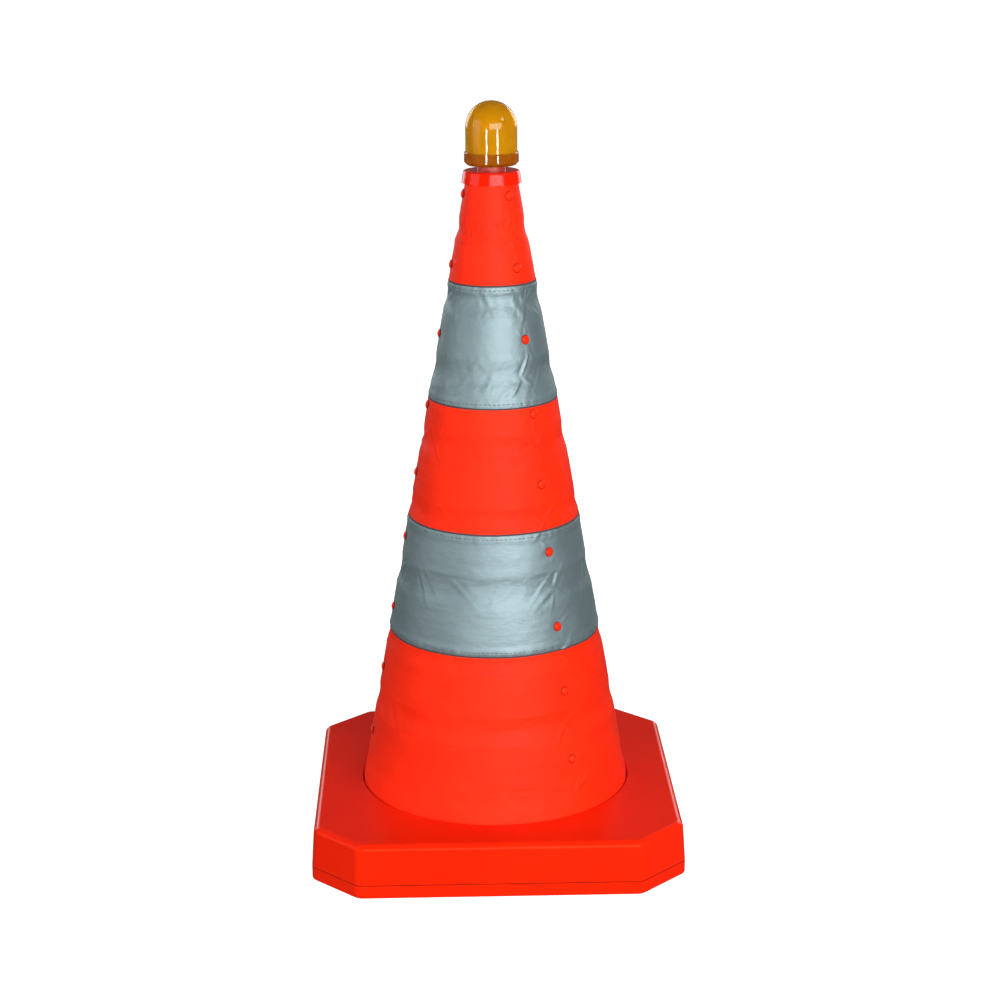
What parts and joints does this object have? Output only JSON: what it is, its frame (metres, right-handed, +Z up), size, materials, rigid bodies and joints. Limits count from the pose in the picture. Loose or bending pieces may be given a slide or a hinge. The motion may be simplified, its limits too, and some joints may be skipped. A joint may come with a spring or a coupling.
{
  "type": "traffic cone",
  "caption": "Collapsible traffic cone: hollow chamfered square base, fabric sleeve with reflective bands riveted over nesting rings, lift spring, and a lift-off amber dome lamp.",
  "frame": {"origin": "centre of the square footprint, on the ground under the rubber feet", "axes": "+Z up along the cone's axis, -Y the front, +X to the right of the front"},
  "size_m": [0.346, 0.346, 0.7],
  "materials": {
    "orange_plastic": "glossy moulded",
    "orange_fabric": "coated woven",
    "reflective_band": "grey retroreflective cloth",
    "rivet_plastic": "moulded",
    "ring_plastic": "moulded",
    "socket_plastic": "moulded",
    "lamp_plastic": "moulded",
    "amber_lens": "clear amber",
    "led_clear": "clear",
    "spring_steel": "drawn wire",
    "screw_steel": "zinc plated",
    "contact_metal": "plated",
    "cell_jacket": "printed jacket, plain",
    "board_green": "solder mask",
    "chip_black": "moulded",
    "black_rubber": "matte"
  },
  "bodies": {
    "base": {"base_shell": "orange_plastic", "base_tray": "orange_plastic", "base_feet": "black_rubber", "tray_screws": "screw_steel", "hem_hoop": "ring_plastic", "hem_screws": "screw_steel", "lift_spring": "spring_steel", "sleeve_bottom_panel": "orange_fabric", "sleeve_lower_band": "reflective_band", "sleeve_middle_panel": "orange_fabric", "sleeve_upper_band": "reflective_band", "sleeve_top_panel": "orange_fabric"},
    "ring_1": {"support_ring_1": "ring_plastic", "ring_1_rivets": "rivet_plastic"},
    "ring_2": {"support_ring_2": "ring_plastic", "ring_2_rivets": "rivet_plastic"},
    "ring_3": {"support_ring_3": "ring_plastic", "ring_3_rivets": "rivet_plastic"},
    "ring_4": {"support_ring_4": "ring_plastic", "ring_4_rivets": "rivet_plastic"},
    "ring_5": {"support_ring_5": "ring_plastic", "ring_5_rivets": "rivet_plastic"},
    "ring_6": {"support_ring_6": "ring_plastic", "ring_6_rivets": "rivet_plastic"},
    "ring_7": {"support_ring_7": "ring_plastic", "ring_7_rivets": "rivet_plastic"},
    "ring_8": {"support_ring_8": "ring_plastic", "ring_8_rivets": "rivet_plastic"},
    "head": {"head_socket": "socket_plastic", "head_collar": "orange_plastic", "head_rivets": "rivet_plastic"},
    "lamp": {"lamp_housing": "lamp_plastic", "lamp_grip_ring": "black_rubber", "lamp_seal": "black_rubber", "battery_cap": "lamp_plastic", "battery_cells": "cell_jacket", "battery_springs": "spring_steel", "contact_plate": "contact_metal", "led_board": "board_green", "leds": "led_clear", "flasher_chip": "chip_black"},
    "lens": {"lens": "amber_lens", "switch_wiper": "contact_metal"}
  },
  "joints": [
    {"name": "collapse", "type": "slide", "parent": "base", "child": "ring_1", "axis": [0, 0, 1], "range_m": [-0.0755, 0], "stiffness_N_per_m": 466.9, "springref_m": 0.0257, "deforming": ["sleeve_bottom_panel", "sleeve_lower_band", "sleeve_middle_panel", "sleeve_upper_band", "sleeve_top_panel", "lift_spring"]},
    {"name": "ring_2_slide", "type": "slide", "parent": "ring_1", "child": "ring_2", "axis": [0, 0, 1], "range_m": [-0.064, 0], "stiffness_N_per_m": 550.8, "springref_m": 0.02179},
    {"name": "ring_3_slide", "type": "slide", "parent": "ring_2", "child": "ring_3", "axis": [0, 0, 1], "range_m": [-0.06, 0], "stiffness_N_per_m": 587.5, "springref_m": 0.02043},
    {"name": "ring_4_slide", "type": "slide", "parent": "ring_3", "child": "ring_4", "axis": [0, 0, 1], "range_m": [-0.069, 0], "stiffness_N_per_m": 510.9, "springref_m": 0.02349},
    {"name": "ring_5_slide", "type": "slide", "parent": "ring_4", "child": "ring_5", "axis": [0, 0, 1], "range_m": [-0.062, 0], "stiffness_N_per_m": 568.5, "springref_m": 0.02111},
    {"name": "ring_6_slide", "type": "slide", "parent": "ring_5", "child": "ring_6", "axis": [0, 0, 1], "range_m": [-0.064, 0], "stiffness_N_per_m": 550.8, "springref_m": 0.02179},
    {"name": "ring_7_slide", "type": "slide", "parent": "ring_6", "child": "ring_7", "axis": [0, 0, 1], "range_m": [-0.067, 0], "stiffness_N_per_m": 526.1, "springref_m": 0.02281},
    {"name": "ring_8_slide", "type": "slide", "parent": "ring_7", "child": "ring_8", "axis": [0, 0, 1], "range_m": [-0.064, 0], "stiffness_N_per_m": 550.8, "springref_m": 0.02179},
    {"name": "head_slide", "type": "slide", "parent": "ring_8", "child": "head", "axis": [0, 0, 1], "range_m": [-0.062, 0], "stiffness_N_per_m": 568.5, "springref_m": 0.02111},
    {"name": "lamp_lift", "type": "slide", "parent": "head", "child": "lamp", "axis": [0, 0, 1], "range_m": [0, 0.06]},
    {"name": "lens_twist", "type": "hinge", "parent": "lamp", "child": "lens", "pos_m": [0, 0, 0.65], "axis": [0, 0, 1], "range_deg": [0, 45]}
  ],
  "couplings": [
    {"joint": "ring_2_slide", "follows": "collapse", "ratio": 0.84768},
    {"joint": "ring_3_slide", "follows": "collapse", "ratio": 0.7947},
    {"joint": "ring_4_slide", "follows": "collapse", "ratio": 0.91391},
    {"joint": "ring_5_slide", "follows": "collapse", "ratio": 0.82119},
    {"joint": "ring_6_slide", "follows": "collapse", "ratio": 0.84768},
    {"joint": "ring_7_slide", "follows": "collapse", "ratio": 0.88742},
    {"joint": "ring_8_slide", "follows": "collapse", "ratio": 0.84768},
    {"joint": "head_slide", "follows": "collapse", "ratio": 0.82119}
  ]
}
